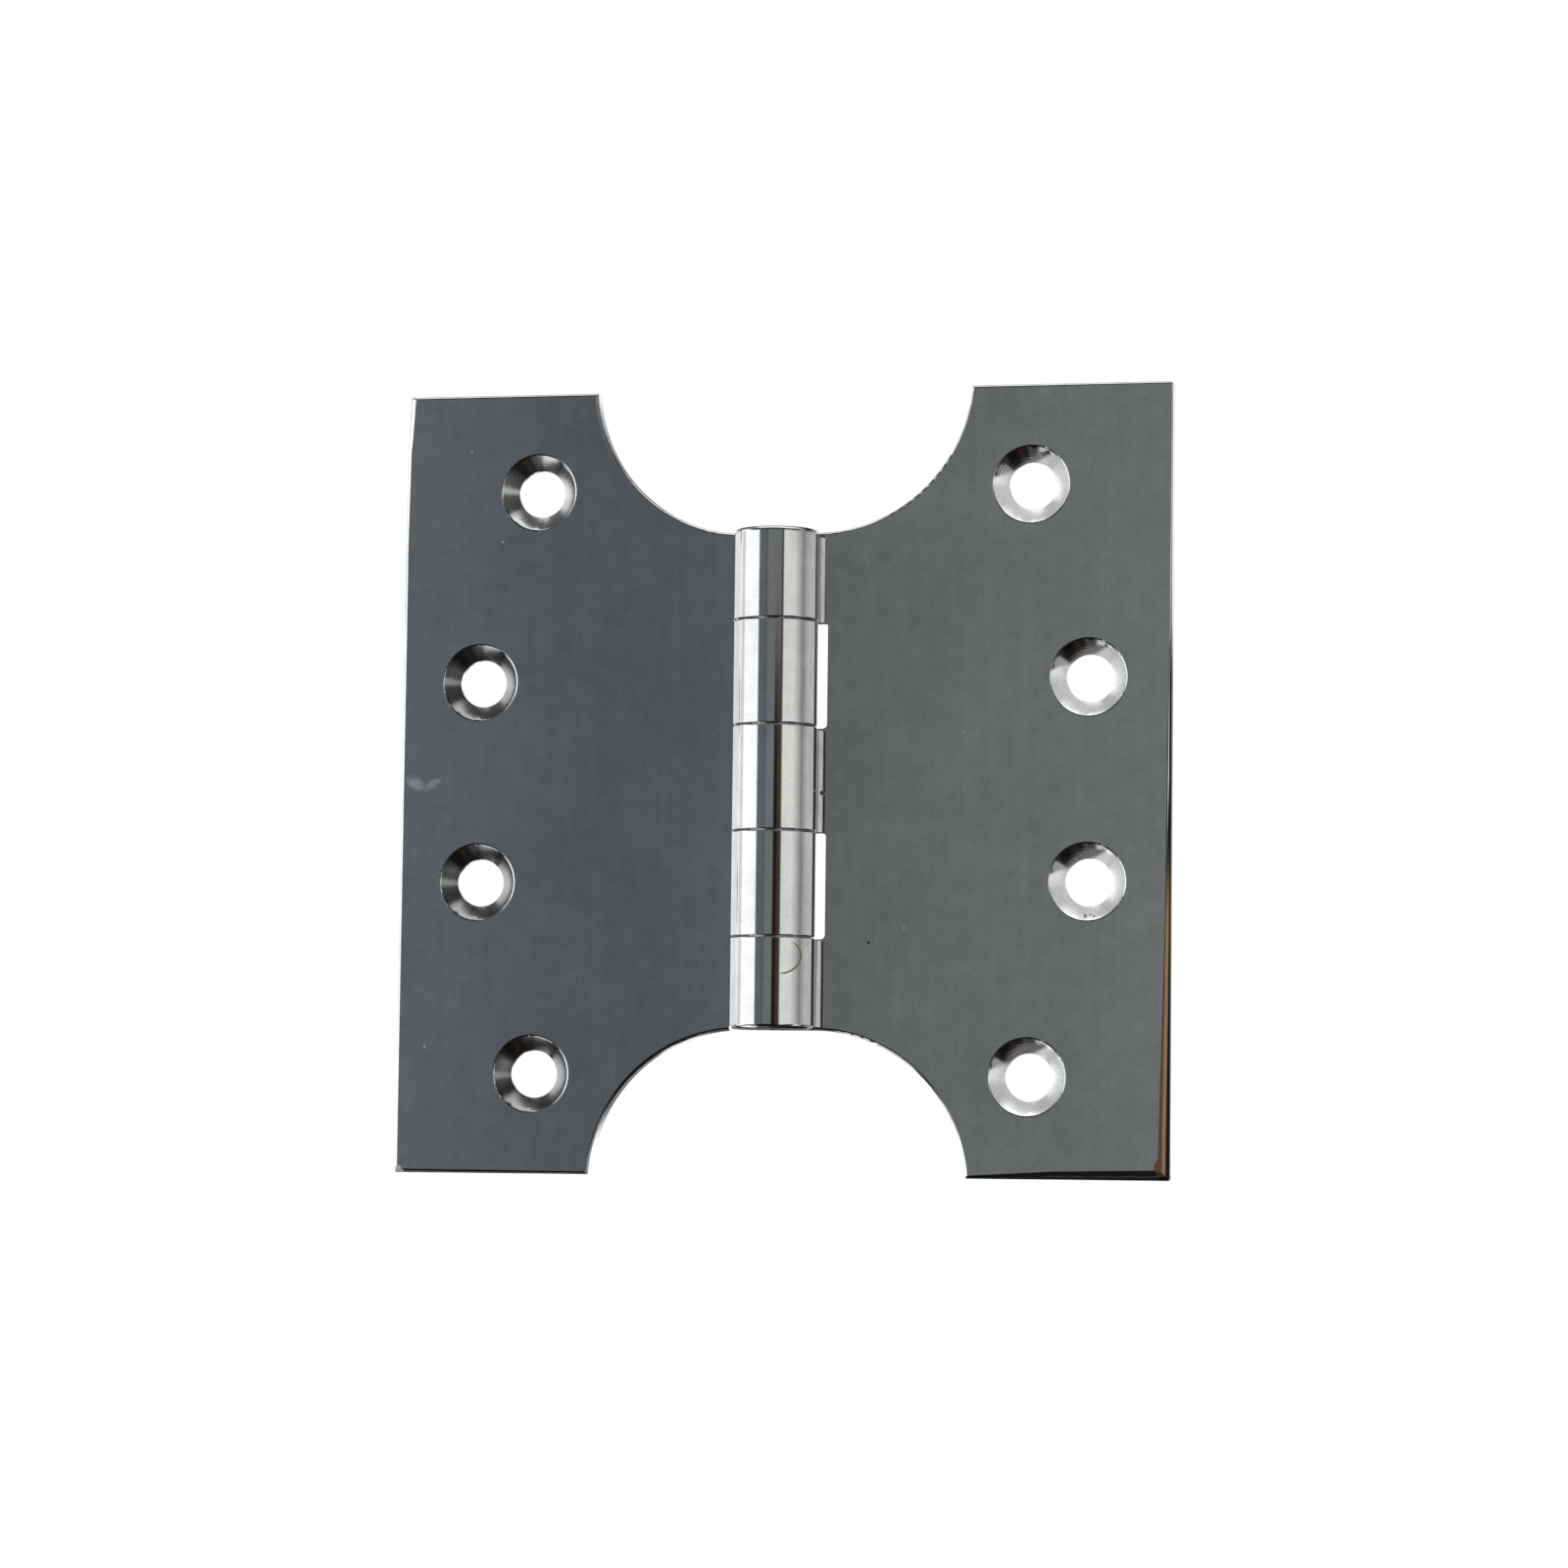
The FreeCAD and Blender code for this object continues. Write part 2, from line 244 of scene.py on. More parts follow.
class HingeStudio(bpy.types.PropertyGroup):
    """Camera, floor and the tones of the tent that the chrome mirrors."""

    camera_place: bpy.props.FloatVectorProperty(
        name="Camera place",
        description="Where the camera stands",
        subtype="TRANSLATION",
        unit="LENGTH",
        size=3,
        default=(0.14483, -0.64752, -0.04976),
    )
    camera_aim: bpy.props.FloatVectorProperty(
        name="Camera aim",
        description="The point that the camera looks at",
        subtype="TRANSLATION",
        unit="LENGTH",
        size=3,
        default=(0.00131, 0.0, -0.00065),
    )
    camera_roll: bpy.props.FloatProperty(
        name="Camera roll",
        description="Turn of the camera about its own line of sight",
        subtype="ANGLE",
        unit="ROTATION",
        default=math.radians(0.65),
    )
    lens: bpy.props.FloatProperty(
        name="Lens",
        description="Focal length for a sensor 36 mm wide, in millimetres",
        default=118.72,
    )
    floor_drop: bpy.props.FloatProperty(
        name="Floor drop",
        description="How far the floor lies below the middle of the hinge",
        subtype="DISTANCE",
        unit="LENGTH",
        default=0.30,
    )
    floor_radius: bpy.props.FloatProperty(
        name="Floor radius",
        description="Radius of the round floor",
        subtype="DISTANCE",
        unit="LENGTH",
        default=1.2,
    )
    tent_radius: bpy.props.FloatProperty(
        name="Tent radius",
        description="Radius of the tent that the chrome mirrors",
        subtype="DISTANCE",
        unit="LENGTH",
        default=1.5,
    )
    softbox: bpy.props.FloatVectorProperty(
        name="Softbox",
        description="Tone of the white panels",
        subtype="COLOR",
        size=3,
        default=(1.45, 1.45, 1.45),
    )
    front_left: bpy.props.FloatVectorProperty(
        name="Front, left end",
        description="Tone of the dark front that the outer half of the left leaf mirrors",
        subtype="COLOR",
        size=3,
        default=(0.148, 0.164, 0.179),
    )
    front_middle: bpy.props.FloatVectorProperty(
        name="Front, middle",
        description="Tone of the dark front that the inner half of the left leaf mirrors",
        subtype="COLOR",
        size=3,
        default=(0.116, 0.128, 0.140),
    )
    front_right: bpy.props.FloatVectorProperty(
        name="Front, right end",
        description="Tone of the dark front that the right leaf mirrors",
        subtype="COLOR",
        size=3,
        default=(0.200, 0.212, 0.211),
    )
    camera_shade: bpy.props.FloatVectorProperty(
        name="Camera shade",
        description="Tone of the camera's own dark strip",
        subtype="COLOR",
        size=3,
        default=(0.020, 0.015, 0.012),
    )
    brown_shade: bpy.props.FloatVectorProperty(
        name="Brown shade",
        description="Tone of the brown strip beside the camera",
        subtype="COLOR",
        size=3,
        default=(0.062, 0.042, 0.034),
    )
    right_panel: bpy.props.FloatVectorProperty(
        name="Right panel",
        description="Tone of the pale panel on the right",
        subtype="COLOR",
        size=3,
        default=(0.92, 0.93, 0.89),
    )
    right_grey: bpy.props.FloatVectorProperty(
        name="Right grey",
        description="Tone of the grey beyond the pale panel",
        subtype="COLOR",
        size=3,
        default=(0.305, 0.315, 0.310),
    )
    right_card: bpy.props.FloatVectorProperty(
        name="Right card",
        description="Tone of the dark cards above and below the pale panel",
        subtype="COLOR",
        size=3,
        default=(0.090, 0.088, 0.080),
    )
    room: bpy.props.FloatVectorProperty(
        name="Room",
        description="Tone of the room behind the hinge",
        subtype="COLOR",
        size=3,
        default=(0.36, 0.37, 0.38),
    )
    dark: bpy.props.FloatVectorProperty(
        name="Dark",
        description="Tone of the dark cards",
        subtype="COLOR",
        size=3,
        default=(0.014, 0.012, 0.011),
    )


def join(tree, source, target):
    """Links an output socket to an input socket."""
    tree.links.new(source, target)


def calculate(tree, operation, first, second=None, third=None):
    """A Math node on sockets or numbers. Returns its result."""
    node = tree.nodes.new("ShaderNodeMath")
    node.operation = operation
    for socket, value in zip(node.inputs, (first, second, third)):
        if value is None:
            continue
        if isinstance(value, (int, float)):
            socket.default_value = value
        else:
            join(tree, value, socket)
    return node.outputs[0]


def combine(tree, operation, masks):
    """Joins several mask sockets into one, two at a time."""
    result = masks[0]
    for mask in masks[1:]:
        result = calculate(tree, operation, result, mask)
    return result


def multiply(tree, *masks):
    """The product of several mask sockets."""
    return combine(tree, "MULTIPLY", masks)


def strongest(tree, *masks):
    """The largest of several mask sockets."""
    return combine(tree, "MAXIMUM", masks)


def add_in_areas(tree, value, areas):
    """A socket or a number, with an amount added in each of several masked areas."""
    for mask, amount in areas:
        value = calculate(tree, "MULTIPLY_ADD", mask, amount, value)
    return value


def ease(tree, value, start, end):
    """A smooth step of a socket from 0 at start to 1 at end."""
    node = tree.nodes.new("ShaderNodeMapRange")
    node.interpolation_type = "SMOOTHSTEP"
    node.inputs["From Min"].default_value = start
    node.inputs["From Max"].default_value = end
    join(tree, value, node.inputs["Value"])
    return node.outputs["Result"]


def blend_colour(tree, amount, first, second):
    """Mixes two colours, each a socket or a plain colour, by an amount socket."""
    node = tree.nodes.new("ShaderNodeMix")
    node.data_type = "RGBA"
    join(tree, amount, node.inputs["Factor"])
    for socket, value in ((node.inputs[6], first), (node.inputs[7], second)):
        if isinstance(value, bpy.types.NodeSocket):
            join(tree, value, socket)
        else:
            socket.default_value = tuple(value)[:3] + (1.0,)
    return node.outputs[2]


def spread(tree, value, low, high):
    """Maps a socket that runs from 0 to 1 onto low to high."""
    node = tree.nodes.new("ShaderNodeMapRange")
    node.inputs["To Min"].default_value = low
    node.inputs["To Max"].default_value = high
    join(tree, value, node.inputs["Value"])
    return node.outputs["Result"]


def grain(tree, place, scale, detail, stretch=(1.0, 1.0, 1.0)):
    """Noise on the piece's own coordinates, drawn out along the axes with a small stretch."""
    mapping = tree.nodes.new("ShaderNodeMapping")
    mapping.inputs["Scale"].default_value = stretch
    join(tree, place, mapping.inputs["Vector"])
    noise = tree.nodes.new("ShaderNodeTexNoise")
    noise.inputs["Scale"].default_value = scale
    noise.inputs["Detail"].default_value = detail
    join(tree, mapping.outputs["Vector"], noise.inputs["Vector"])
    return noise.outputs["Fac"]


def new_finish(name):
    """A bare material. Returns it with its node tree, its shader and the Object coordinates."""
    material = bpy.data.materials.new(name)
    material.use_nodes = True
    tree = material.node_tree
    shader = tree.nodes["Principled BSDF"]
    place = tree.nodes.new("ShaderNodeTexCoord").outputs["Object"]
    return material, tree, shader, place


def split_place(tree, place):
    """The X, Y and Z sockets of a place."""
    axes = tree.nodes.new("ShaderNodeSeparateXYZ")
    join(tree, place, axes.inputs[0])
    return axes.outputs


def bump(tree, height, depth, strength, below=None):
    """A Bump node whose height socket runs over a depth in metres."""
    node = tree.nodes.new("ShaderNodeBump")
    node.inputs["Strength"].default_value = strength
    node.inputs["Distance"].default_value = depth
    join(tree, height, node.inputs["Height"])
    if below is not None:
        join(tree, below, node.inputs["Normal"])
    return node.outputs["Normal"]


def distance_from(tree, across, up, centre):
    """Distance from a point, seen from the front, on sockets of the X and Z place."""
    aside = calculate(tree, "SUBTRACT", across, centre[0])
    above = calculate(tree, "SUBTRACT", up, centre[1])
    squares = calculate(tree, "MULTIPLY", aside, aside)
    return calculate(tree, "SQRT", calculate(tree, "MULTIPLY_ADD", above, above, squares))


def hole_place(tree, across, up):
    """Distance from the axis of the nearest screw hole, outwards from it and above it, on sockets."""
    aside = calculate(tree, "ABSOLUTE", across)
    above = calculate(tree, "ABSOLUTE", up)
    inner, outer = [
        (mount["pos_m"][0], mount["dims"]["spacing_y_mm"] * MM / 2)
        for mount in (INNER_SCREWS, OUTER_SCREWS)
    ]
    from_inner = distance_from(tree, aside, above, inner)
    from_outer = distance_from(tree, aside, above, outer)
    at_inner = calculate(tree, "LESS_THAN", from_inner, from_outer)
    offsets = []
    for side, inner_place, outer_place in zip((aside, above), inner, outer):
        offset = calculate(tree, "SUBTRACT", side, outer_place)
        offsets.append(calculate(tree, "MULTIPLY_ADD", at_inner, outer_place - inner_place, offset))
    outwards, height = offsets
    height = calculate(tree, "MULTIPLY", height, calculate(tree, "SIGN", up))
    return calculate(tree, "MINIMUM", from_inner, from_outer), outwards, height


def specks(tree, across, up, places, edge):
    """Round specks on the front, with edges frayed by a noise socket."""
    marks = []
    for aside, above, radius in places:
        distance = distance_from(tree, across, up, (aside * MM, above * MM))
        frayed = calculate(tree, "MULTIPLY_ADD", edge, SPECK_FRAY, distance)
        limits = [(radius + margin) * MM for margin in SPECK_EDGE]
        marks.append(ease(tree, frayed, *limits))
    return strongest(tree, *marks)


def hair_mark(tree, across, depth, up):
    """A fine curved hair on the bottom knuckle, open at its upper left."""
    distance = distance_from(tree, across, up, HAIR_CENTRE)
    off_line = calculate(tree, "ABSOLUTE", calculate(tree, "SUBTRACT", distance, HAIR_RADIUS))
    return multiply(
        tree,
        ease(tree, off_line, *HAIR_LINE),
        ease(tree, across, *HAIR_ACROSS),
        ease(tree, up, *HAIR_HEIGHTS),
        calculate(tree, "LESS_THAN", depth, BARREL_FRONT),
    )


def worn_and_shaded_edge(tree, across, depth, up):
    """The right leaf's outer edge, where the plate has worn off towards the lower corner and painted
    shade darkens it.
    """
    leaning = strongest(tree, calculate(tree, "MULTIPLY_ADD", up, -WORN_AND_SHADED_LEAN, across), across)
    strip = multiply(tree, ease(tree, leaning, *WORN_AND_SHADED_STRIP), ease(tree, up, *WORN_AND_SHADED_HEIGHTS))
    corner = ease(tree, distance_from(tree, across, up, WORN_AND_SHADED_CORNER), *WORN_AND_SHADED_PATCH)
    front = calculate(tree, "LESS_THAN", depth, WORN_AND_SHADED_DEPTH)
    return multiply(tree, strongest(tree, strip, corner), front)


def worn_metal_and_painted_shade(tree, finish, depth, up):
    """Painted shade, nearly black, high on the worn edge and on its outer side; bare metal low on its
    front.
    """
    # Painted shade: the worn metal darkened to nearly black
    dark = [part * 0.07 for part in finish.worn_metal[:3]]
    bare = multiply(tree, ease(tree, up, *BARE_HEIGHTS), ease(tree, depth, *BARE_DEPTHS))
    return blend_colour(tree, bare, dark, finish.worn_metal)


def shaded_bottom_edge(tree, across, depth, up):
    """Painted shade on the right leaf's bottom edge: a dark strip that widens towards the outer corner.
    """
    lowered = calculate(tree, "MULTIPLY_ADD", across, -DARK_STRIP_RISE, up)
    return multiply(
        tree,
        ease(tree, lowered, *DARK_STRIP),
        calculate(tree, "GREATER_THAN", across, 0.0),
        calculate(tree, "LESS_THAN", depth, DARK_EDGE_DEPTH),
    )


def stroke(tree, across, up, centre, half_length, half_width, tilt):
    """A soft oval stroke on the front, in millimetres, tilted by an angle in degrees."""
    aside = calculate(tree, "SUBTRACT", across, centre[0] * MM)
    above = calculate(tree, "SUBTRACT", up, centre[1] * MM)
    cosine = math.cos(math.radians(tilt))
    sine = math.sin(math.radians(tilt))
    along = calculate(tree, "MULTIPLY_ADD", aside, cosine, calculate(tree, "MULTIPLY", above, sine))
    off = calculate(tree, "MULTIPLY_ADD", above, cosine, calculate(tree, "MULTIPLY", aside, -sine))
    along = calculate(tree, "DIVIDE", along, half_length * MM)
    off = calculate(tree, "DIVIDE", off, half_width * MM)
    squares = calculate(tree, "MULTIPLY", along, along)
    return ease(tree, calculate(tree, "MULTIPLY_ADD", off, off, squares), *STROKE_EDGE)


def scuff(tree, across, up, streaks):
    """A pale scuff by the left leaf's outer edge: two streaky strokes that meet in a shallow V."""
    strokes = [stroke(tree, across, up, *values) for values in SCUFF_STROKES]
    return multiply(tree, strongest(tree, *strokes), ease(tree, streaks, *STREAKS))


def plate_noises(tree, place):
    """The plate's noises: clouds, mottle, upright polishing marks, level wipes and a fine grain."""
    return {
        "clouds": grain(tree, place, 70.0, 3.0),
        "mottle": grain(tree, place, 420.0, 3.0),
        "marks": grain(tree, place, 900.0, 3.0, stretch=(1.0, 1.0, 0.05)),
        "wipes": grain(tree, place, 1400.0, 2.0, stretch=(0.3, 1.0, 1.0)),
        "fine": grain(tree, place, 2600.0, 2.0),
    }


def countersinks(tree, finish, across, depth, up):
    """Masks of the countersinks: grey on the left leaf, pale with a dark upper left wall on the right.

    The grey and low masks are painted shade, pale is painted highlight and dark is painted shade.
    Returns the distance from the nearest hole's axis, and the masks by name.
    """
    from_axis, outwards, above_axis = hole_place(tree, across, up)
    near_hole = calculate(tree, "LESS_THAN", from_axis, finish.countersink - SINK_RIM)
    every = multiply(tree, near_hole, calculate(tree, "LESS_THAN", depth, SINK_DEPTH))
    on_left = multiply(tree, every, calculate(tree, "LESS_THAN", across, 0.0))
    on_right = multiply(tree, every, calculate(tree, "GREATER_THAN", across, 0.0))
    upper_left = calculate(tree, "MULTIPLY_ADD", outwards, -DARK_WALL_LEAN, above_axis)
    # grey and low: painted shade on the left leaf; pale: painted highlight and dark: painted shade on
    # the right leaf
    return from_axis, {
        "every": every,
        "grey": on_left,
        "low": multiply(tree, on_left, calculate(tree, "LESS_THAN", up, LOW_SINKS)),
        "pale": multiply(tree, on_right, ease(tree, upper_left, *PALE_WALL)),
        "dark": multiply(tree, on_right, ease(tree, upper_left, *DARK_WALL)),
    }


def chrome_tone(tree, noises, sinks, painted_edge_shade):
    """Brightness of the plate, changed by painted shade on its bottom edge, painted shade and highlight
    in its countersinks, and its noises.
    """
    changes = (
        # Painted shade on the right leaf's bottom edge
        (painted_edge_shade, -0.85),
        # Painted highlight on the right leaf's pale countersink walls, painted shade on their dark walls
        # and in the left leaf's grey and low countersinks
        (sinks["pale"], 0.42),
        (sinks["dark"], -0.5),
        (sinks["grey"], -0.15),
        (sinks["low"], -0.4),
    )
    factors = [calculate(tree, "MULTIPLY_ADD", mask, change, 1.0) for mask, change in changes]
    for name, swing in (("clouds", 0.14), ("mottle", 0.15), ("marks", 0.08), ("fine", 0.12)):
        factors.append(spread(tree, noises[name], 1.0 - swing, 1.0 + swing))
    return multiply(tree, *factors)


def chrome_relief(tree, finish, noises, from_axis, in_sink):
    """Relief of the plate: its noises, and the rings that the countersink tool left."""
    turns = calculate(tree, "DIVIDE", from_axis, finish.tool_pitch / (2 * math.pi))
    rings = multiply(tree, calculate(tree, "SINE", turns), in_sink)
    skin = None
    for height, relief, strength in (
        (noises["marks"], 0.003 * MM, 0.2),
        (noises["clouds"], 0.03 * MM, 0.25),
        (noises["fine"], 0.001 * MM, 0.3),
        (rings, 0.005 * MM, 0.2),
    ):
        skin = bump(tree, height, relief, strength, below=skin)
    return skin


def chrome_finish(finish):
    """Polished plate with faint clouds, polishing marks, turned countersinks and marks of use, with
    painted shade and painted highlight in the countersinks and on the edges.
    """
    material, tree, shader, place = new_finish("polished_chrome_plate")
    across, depth, up = split_place(tree, place)
    noises = plate_noises(tree, place)
    from_axis, sinks = countersinks(tree, finish, across, depth, up)

    # Where the plate is worn and darkened with painted shade, dirty or scuffed
    worn = worn_and_shaded_edge(tree, across, depth, up)
    front = calculate(tree, "LESS_THAN", depth, FRONT_DEPTH)
    hair = multiply(tree, hair_mark(tree, across, depth, up), front)
    brown_specks, black, pale = [
        multiply(tree, specks(tree, across, up, places, noises["fine"]), front)
        for places in (BROWN_SPECKS, DARK_SPECKS, PALE_SPECKS)
    ]
    brown = strongest(tree, hair, brown_specks)
    dirty = strongest(tree, brown, black, pale)
    hazy = multiply(tree, scuff(tree, across, up, noises["wipes"]), front)

    # Colour of the plate with its painted shade and painted highlight, and over it the worn metal with
    # its painted shade, and the dirt
    tone = chrome_tone(tree, noises, sinks, shaded_bottom_edge(tree, across, depth, up))
    plate = tree.nodes.new("ShaderNodeVectorMath")
    plate.operation = "SCALE"
    plate.inputs[0].default_value = tuple(finish.chrome)[:3]
    join(tree, tone, plate.inputs["Scale"])
    colour = plate.outputs["Vector"]
    for mask, over in (
        (worn, worn_metal_and_painted_shade(tree, finish, depth, up)),
        (brown, finish.dirt),
        (black, [part * 0.25 for part in finish.dirt[:3]]),
        (pale, finish.pale_dirt),
    ):
        colour = blend_colour(tree, mask, colour, over)
    join(tree, colour, shader.inputs["Base Color"])

    # Less metal where scuffed, dirty or on the pale countersink walls of painted highlight; duller
    # there, in the countersinks and on the worn, shaded edge
    metal = add_in_areas(tree, 1.0, ((hazy, -0.14), (sinks["pale"], -0.30), (dirty, -0.85)))
    join(tree, metal, shader.inputs["Metallic"])
    rough = finish.chrome_roughness
    polish = add_in_areas(tree, spread(tree, noises["marks"], rough * 0.6, rough * 1.4), (
        (sinks["every"], 0.06),
        (sinks["grey"], 0.08),
        (sinks["pale"], 0.12),
        (worn, 0.34),
        (hazy, 0.24),
        (dirty, 0.40),
    ))
    join(tree, polish, shader.inputs["Roughness"])

    relief = chrome_relief(tree, finish, noises, from_axis, sinks["every"])
    join(tree, relief, shader.inputs["Normal"])
    return material


def steel_finish(finish):
    """Bare drawn wire: lines along the pin and a dull grain on its ends."""
    material, tree, shader, place = new_finish("bare_pin_steel")
    drawn = grain(tree, place, 1500.0, 3.0, stretch=(1.0, 1.0, 0.03))
    dull = grain(tree, place, 500.0, 4.0)
    dull_steel = [part * 0.8 for part in finish.pin_steel[:3]]
    join(tree, blend_colour(tree, dull, dull_steel, finish.pin_steel), shader.inputs["Base Color"])
    join(tree, spread(tree, drawn, 0.28, 0.48), shader.inputs["Roughness"])
    join(tree, bump(tree, drawn, 0.01 * MM, 0.4), shader.inputs["Normal"])
    shader.inputs["Metallic"].default_value = 1.0
    return material


def smooth_copy(node_name, piece_name, material):
    """A copy of a frame node with its points merged and its flat faces kept flat in the mirror."""
    piece = bpy.data.objects.new(piece_name, frame["nodes"][node_name].data.copy())
    piece.data.name = piece_name
    bpy.context.scene.collection.objects.link(piece)
    bpy.ops.object.select_all(action="DESELECT")
    piece.select_set(True)
    bpy.context.view_layer.objects.active = piece
    bpy.ops.mesh.customdata_custom_splitnormals_clear()
    bpy.ops.object.mode_set(mode="EDIT")
    bpy.ops.mesh.select_all(action="SELECT")
    bpy.ops.mesh.remove_doubles(threshold=DOUBLES)
    bpy.ops.mesh.dissolve_limited(angle_limit=FLAT_ANGLE)
    bpy.ops.object.mode_set(mode="OBJECT")
    bpy.ops.object.shade_smooth_by_angle(angle=SHARP_ANGLE)
    weighted = piece.modifiers.new("flat faces first", "WEIGHTED_NORMAL")
    weighted.keep_sharp = True
    weighted.weight = 100
    bpy.ops.object.modifier_apply(modifier=weighted.name)
    piece.data.materials.clear()
    piece.data.materials.append(material)
    return piece


class HINGE_OT_leaves(bpy.types.Operator):
    """Dresses both leaves in polished chrome"""

    bl_idname = "hinge.leaves"
    bl_label = "Dress the leaves"

    def execute(self, context):
        chrome = chrome_finish(context.scene.hinge_finish)
        for node_name, body in (("right_leaf", "fixed_leaf"), ("left_leaf", "swinging_leaf")):
            leaf = smooth_copy(node_name, node_name + "_chrome", chrome)
            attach(leaf, body)
            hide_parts(node_name)
        return {"FINISHED"}


class HINGE_OT_pin(bpy.types.Operator):
    """Dresses the pin in bare steel"""

    bl_idname = "hinge.pin"
    bl_label = "Dress the pin"

    def execute(self, context):
        pin = smooth_copy("hinge_pin", "hinge_pin_steel", steel_finish(context.scene.hinge_finish))
        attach(pin, "fixed_leaf")
        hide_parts("hinge_pin")
        return {"FINISHED"}


def make_camera(studio):
    """The camera at the photograph's viewing angle."""
    data = bpy.data.cameras.new("hinge_camera")
    data.lens = studio.lens
    data.sensor_width = SENSOR_WIDTH
    camera = bpy.data.objects.new("hinge_camera", data)
    place = Vector(studio.camera_place)
    sight = Vector(studio.camera_aim) - place
    level = sight.to_track_quat("-Z", "Y").to_matrix()
    rolled = level @ Matrix.Rotation(studio.camera_roll, 3, "Z")
    camera.matrix_world = Matrix.Translation(place) @ rolled.to_4x4()
    bpy.context.scene.collection.objects.link(camera)
    bpy.context.scene.camera = camera


def make_world():
    """White for the camera and in mirrors, and a plain soft light on everything else."""
    world = bpy.data.worlds.new("white_room")
    bpy.context.scene.world = world
    world.use_nodes = True
    tree = world.node_tree
    background = tree.nodes["Background"]
    rays = tree.nodes.new("ShaderNodeLightPath").outputs
    shown = strongest(tree, rays["Is Camera Ray"], rays["Is Glossy Ray"], rays["Is Transmission Ray"])
    background.inputs["Color"].default_value = (1.0, 1.0, 1.0, 1.0)
    join(tree, spread(tree, shown, 0.5, 1.0), background.inputs["Strength"])


def make_floor(studio):
    """A plain pale floor that looks white to the camera where no shadow falls."""
    bpy.ops.object.select_all(action="DESELECT")
    place_below = (0.0, 0.0, -studio.floor_drop)
    bpy.ops.mesh.primitive_circle_add(
        vertices=96, radius=studio.floor_radius, fill_type="NGON", location=place_below
    )
    floor = bpy.context.active_object
    floor.name = "studio_floor"
    bpy.ops.object.transform_apply(location=True, rotation=True, scale=True)
    material, tree, shader, place = new_finish("pale_floor")
    mottle = grain(tree, place, 30.0, 3.0)
    tone = blend_colour(tree, mottle, (0.93, 0.93, 0.93), (0.97, 0.97, 0.97))
    join(tree, tone, shader.inputs["Base Color"])
    join(tree, spread(tree, mottle, 0.85, 0.95), shader.inputs["Roughness"])
    join(tree, bump(tree, mottle, 0.2 * MM, 0.2), shader.inputs["Normal"])
    floor.data.materials.append(material)
    floor.visible_glossy = False


def turn_between(tree, across, ahead):
    """The turn from the direction ahead towards the right, from 0 to 1 with 0.5 dead ahead."""
    angle = calculate(tree, "ARCTAN2", across, ahead)
    return calculate(tree, "MULTIPLY_ADD", angle, 0.5 / math.pi, 0.5)


def turn_share(degrees):
    """A turn in degrees, with 0 dead ahead, on the scale of turn_between."""
    return (degrees + 180.0) / 360.0


def panels(tree, turn, stops):
    """A row of panels as a colour ramp. Each stop is a turn in degrees and a tone."""
    ramp = tree.nodes.new("ShaderNodeValToRGB")
    colours = ramp.color_ramp
    while len(colours.elements) < len(stops):
        colours.elements.new(1.0)
    for element, (degrees, tone) in zip(colours.elements, stops):
        element.position = turn_share(degrees)
        element.color = tuple(tone)[:3] + (1.0,)
    join(tree, turn, ramp.inputs["Fac"])
    return ramp.outputs["Color"]


def window(tree, turn, start, end):
    """A mask that is 1 between two turns in degrees, with narrow edges."""
    rise = ease(tree, turn, turn_share(start - TURN_EDGE), turn_share(start + TURN_EDGE))
    fall = ease(tree, turn, turn_share(end + TURN_EDGE), turn_share(end - TURN_EDGE))
    return multiply(tree, rise, fall)


def card(tree, turn, height, turns, heights):
    """A mask that is 1 on a card between two turns in degrees and two heights."""
    low, high = heights
    return multiply(
        tree,
        window(tree, turn, *turns),
        ease(tree, height, low - HEIGHT_EDGE, low + HEIGHT_EDGE),
        ease(tree, height, high + HEIGHT_EDGE, high - HEIGHT_EDGE),
    )


def side_panels(studio, tree, turn):
    """The panels that stand around the hinge, from the back by the left, the front and the right."""
    white, room, front_right = studio.softbox, studio.room, studio.front_right
    pale = [part * 0.6 for part in white]
    shaded_room = [part * 0.3 for part in room]
    beside_barrel = [part * 0.84 for part in front_right]
    brown_grey = [part * 1.8 for part in studio.brown_shade]
    return panels(tree, turn, [
        (-180.0, room),
        (-177.0, room),
        (-170.0, shaded_room),
        (-164.0, shaded_room),
        (-156.0, white),
        (-97.0, white),
        (-93.0, pale),
        (-84.0, pale),
        (-80.0, white),
        (-37.5, white),
        (-33.5, studio.front_left),
        (-18.0, studio.front_left),
        (-16.2, studio.front_middle),
        (-13.6, studio.front_middle),
        (-11.4, beside_barrel),
        (-7.0, front_right),
        (25.0, front_right),
        (29.0, brown_grey),
        (31.0, brown_grey),
        (35.0, studio.right_panel),
        (64.0, studio.right_panel),
        (91.0, studio.right_grey),
        (108.0, studio.right_grey),
        (118.0, studio.dark),
        (142.0, studio.dark),
        (152.0, white),
        (167.0, white),
        (175.0, room),
    ])


def upper_panels(studio, tree, turn):
    """The panels overhead, from the left to the right."""
    white, grey, cream = studio.softbox, (0.24, 0.24, 0.25), (0.62, 0.60, 0.56)
    return panels(tree, turn, [
        (-90.0, white),
        (-58.0, white),
        (-50.0, grey),
        (-32.0, grey),
        (-25.0, white),
        (25.0, white),
        (40.0, cream),
        (90.0, cream),
    ])


def lower_panels(studio, tree, turn):
    """The panels below, from the left to the right."""
    white, dark, grey = studio.softbox, studio.dark, (0.15, 0.15, 0.15)
    return panels(tree, turn, [
        (-90.0, white),
        (-63.0, white),
        (-60.0, dark),
        (-51.0, dark),
        (-48.0, white),
        (-25.0, white),
        (-19.0, grey),
        (-4.0, grey),
        (1.0, dark),
        (14.0, studio.brown_shade),
        (24.0, dark),
        (48.0, dark),
        (62.0, grey),
        (90.0, grey),
    ])


